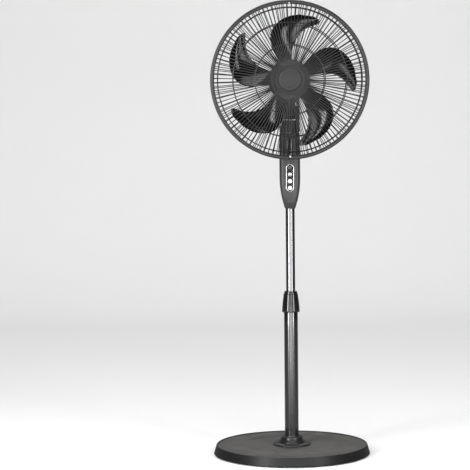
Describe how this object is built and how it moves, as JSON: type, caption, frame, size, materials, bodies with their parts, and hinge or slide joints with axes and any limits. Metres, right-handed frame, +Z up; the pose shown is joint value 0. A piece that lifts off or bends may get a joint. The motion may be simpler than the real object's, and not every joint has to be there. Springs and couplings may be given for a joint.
{
  "type": "pedestal fan",
  "caption": "Floor-standing fan: round weighted base, telescopic mast with lock collar, push-button box, and a swinging, tilting blade rotor in a wire cage.",
  "frame": {"origin": "on the floor, under the middle of the round base, on the mast's axis", "axes": "+Z up along the mast, -Y the way the air is blown and the buttons face, +X to the right seen from the front"},
  "size_m": [0.4339, 0.434, 1.252],
  "materials": {
    "satin_black": "satin, fine grain",
    "cast_iron": "rough casting",
    "zinc_steel": "zinc plated",
    "rubber": "matt",
    "gloss_black": "gloss",
    "pole_black": "gloss paint",
    "pole_chrome": "bright chrome",
    "nylon": "matt",
    "grey_shell": "satin, fine grain",
    "silver_trim": "silver coated",
    "dark_window": "smoked, polished",
    "circuit_green": "lacquered board",
    "button_dark": "satin",
    "button_silver": "silver coated",
    "button_white": "gloss",
    "cast_aluminium": "die cast",
    "core_steel": "stacked sheets",
    "copper_wire": "enamelled wire",
    "bronze": "sintered",
    "capacitor_cream": "moulded",
    "wire_black": "satin powder coat",
    "badge_grey": "satin",
    "rim_black": "satin gloss",
    "shaft_steel": "ground",
    "blade_black": "semi gloss"
  },
  "bodies": {
    "stand": {"base_cover": "satin_black", "base_weight": "cast_iron", "base_plate": "zinc_steel", "rubber_feet": "rubber", "pole_socket": "zinc_steel", "socket_bolts": "zinc_steel", "base_screws": "zinc_steel", "base_trim_collar": "gloss_black", "lower_pole": "pole_black", "pole_collet": "gloss_black"},
    "lock": {"lock_collar": "gloss_black"},
    "mast": {"upper_pole": "pole_chrome", "pole_guide": "nylon", "mast_bracket": "zinc_steel", "control_box_rear": "grey_shell", "control_box_front": "grey_shell", "control_box_screws": "zinc_steel", "pole_clamp_screw": "zinc_steel", "cord_gland": "rubber", "button_panel": "silver_trim", "receiver_window": "dark_window", "control_board": "circuit_green", "button_switches": "zinc_steel", "swivel_bush": "nylon", "thrust_washer": "nylon", "swing_motor": "zinc_steel"},
    "power": {"power_button": "button_dark"},
    "speed": {"speed_button": "button_silver"},
    "mode": {"mode_button": "button_white"},
    "timer": {"timer_button": "button_white"},
    "pinion": {"swing_pinion": "nylon"},
    "neck": {"tilt_yoke": "grey_shell", "swing_gear": "nylon", "spindle_nut": "zinc_steel", "tilt_bolt": "zinc_steel", "tilt_nut": "zinc_steel", "tilt_washers": "nylon"},
    "head": {"tilt_knuckle": "grey_shell", "motor_front_bell": "cast_aluminium", "motor_rear_bell": "cast_aluminium", "stator_core": "core_steel", "stator_windings": "copper_wire", "motor_bearings": "bronze", "motor_bolts": "zinc_steel", "motor_capacitor": "capacitor_cream", "motor_cover": "grey_shell", "cover_screws": "zinc_steel", "rear_cage_frame": "wire_black", "rear_cage_wires": "wire_black", "cage_nut": "gloss_black", "front_cage_frame": "wire_black", "front_cage_wires": "wire_black", "front_badge": "badge_grey", "cage_rim": "rim_black", "rim_screws": "zinc_steel", "rim_nuts": "zinc_steel"},
    "rotor": {"motor_shaft": "shaft_steel", "motor_rotor": "cast_aluminium", "fan_blade": "blade_black", "spinner_nut": "gloss_black"}
  },
  "joints": [
    {"name": "lock_collar_turn", "type": "hinge", "parent": "stand", "child": "lock", "pos_m": [0, 0, 0.42], "axis": [0, 0, 1], "range_deg": [0, 180]},
    {"name": "height_slide", "type": "slide", "parent": "stand", "child": "mast", "axis": [0, 0, 1], "range_m": [-0.2, 0]},
    {"name": "power_press", "type": "slide", "parent": "mast", "child": "power", "axis": [0, 1, 0], "range_m": [0, 0.0007], "stiffness_N_per_m": 600, "springref_m": -0.001},
    {"name": "speed_press", "type": "slide", "parent": "mast", "child": "speed", "axis": [0, 1, 0], "range_m": [0, 0.0007], "stiffness_N_per_m": 600, "springref_m": -0.001},
    {"name": "mode_press", "type": "slide", "parent": "mast", "child": "mode", "axis": [0, 1, 0], "range_m": [0, 0.0007], "stiffness_N_per_m": 600, "springref_m": -0.001},
    {"name": "timer_press", "type": "slide", "parent": "mast", "child": "timer", "axis": [0, 1, 0], "range_m": [0, 0.0007], "stiffness_N_per_m": 600, "springref_m": -0.001},
    {"name": "swing", "type": "hinge", "parent": "mast", "child": "neck", "pos_m": [0, 0, 0.892], "axis": [0, 0, 1], "range_deg": [-40, 40]},
    {"name": "pinion_spin", "type": "hinge", "parent": "mast", "child": "pinion", "pos_m": [0, 0.018, 0.882], "axis": [0, 0, 1], "range_deg": [-122, 122]},
    {"name": "tilt", "type": "hinge", "parent": "neck", "child": "head", "pos_m": [0, 0, 0.947], "axis": [1, 0, 0], "range_deg": [-25, 12]},
    {"name": "blade_spin", "type": "hinge", "parent": "head", "child": "rotor", "pos_m": [0, -0.09, 1.037], "axis": [0, -1, 0], "continuous": true}
  ],
  "couplings": [
    {"joint": "pinion_spin", "follows": "swing", "ratio": -3}
  ]
}
